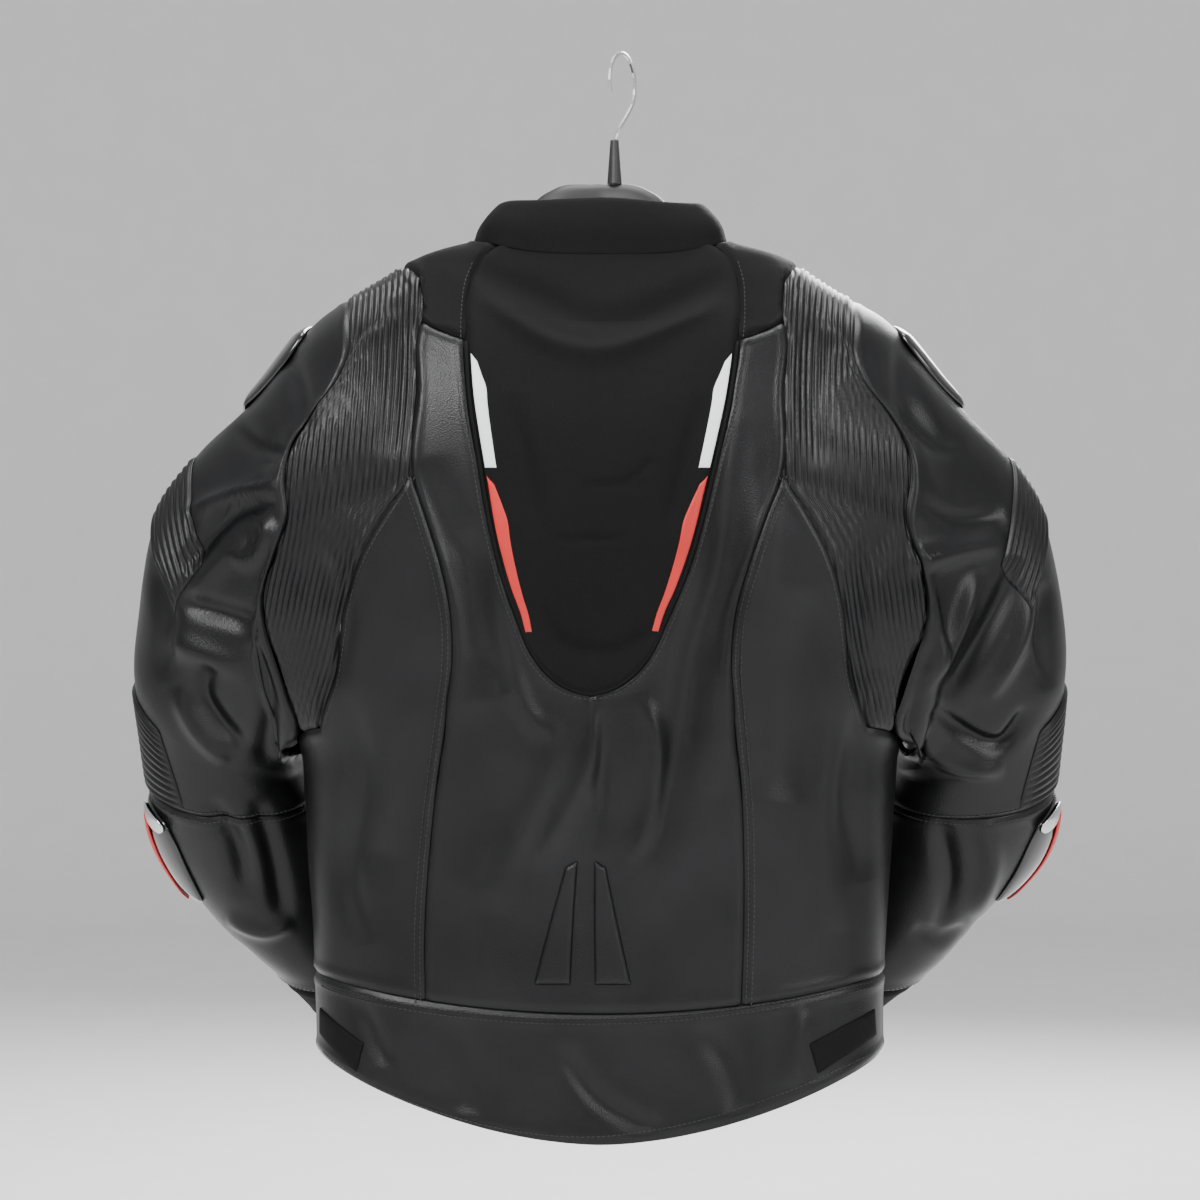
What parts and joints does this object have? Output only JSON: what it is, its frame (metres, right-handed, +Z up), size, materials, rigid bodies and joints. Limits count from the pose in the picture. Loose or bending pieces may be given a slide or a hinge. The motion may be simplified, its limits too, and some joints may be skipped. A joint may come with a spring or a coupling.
{
  "type": "leather motorcycle jacket on a hanger",
  "caption": "Black leather motorcycle jacket with a back hump, ribbed stretch panels, white and red flashes and hard sliders, hung on a moulded hanger with a wire hook.",
  "frame": {"origin": "underside of the hook's crown, where the hanger hangs", "axes": "+X to the wearer's right, +Y out of the jacket's front, +Z up"},
  "size_m": [0.7133, 0.3063, 0.8166],
  "materials": {
    "leather": "satin black leather",
    "matte": "matte black stretch fabric",
    "ribbed": "ribbed black leather",
    "white": "white leather",
    "red": "red leather",
    "shell": "glossy black plastic",
    "moulded": "black moulded plastic",
    "steel": "bright steel",
    "zip": "dark metal"
  },
  "bodies": {
    "jacket": {"accordion_L": "ribbed", "accordion_R": "ribbed", "back_center": "leather", "back_insert": "matte", "back_pad_L": "leather", "back_pad_R": "leather", "back_side_L": "leather", "back_side_R": "leather", "back_yoke": "matte", "biceps_rib_L": "ribbed", "biceps_rib_R": "ribbed", "collar": "matte", "cuff_L": "matte", "cuff_R": "matte", "elbow_rib_L": "ribbed", "elbow_rib_R": "ribbed", "elbow_shell_L": "shell", "elbow_shell_R": "shell", "flash_red_L": "red", "flash_red_R": "red", "flash_white_L": "white", "flash_white_R": "white", "front_L": "leather", "front_R": "leather", "front_zip": "zip", "hanger_body": "moulded", "hanger_hook": "steel", "hanger_neck": "moulded", "hem_back": "leather", "hem_front_L": "leather", "hem_front_R": "leather", "hem_tab_L": "matte", "hem_tab_R": "matte", "insert_piping": "matte", "shoulder_L": "matte", "shoulder_R": "matte", "shoulder_shell_L": "shell", "shoulder_shell_R": "shell", "sleeve_lower_L": "leather", "sleeve_lower_R": "leather", "sleeve_upper_L": "leather", "sleeve_upper_R": "leather", "zip_slider": "steel"},
    "pull": {"zip_pull": "steel"}
  },
  "joints": [
    {"name": "pull_hinge", "type": "hinge", "parent": "jacket", "child": "pull", "pos_m": [-0.017, 0.08251, -0.207], "axis": [1, 0, 0], "range_deg": [0, 110]}
  ]
}
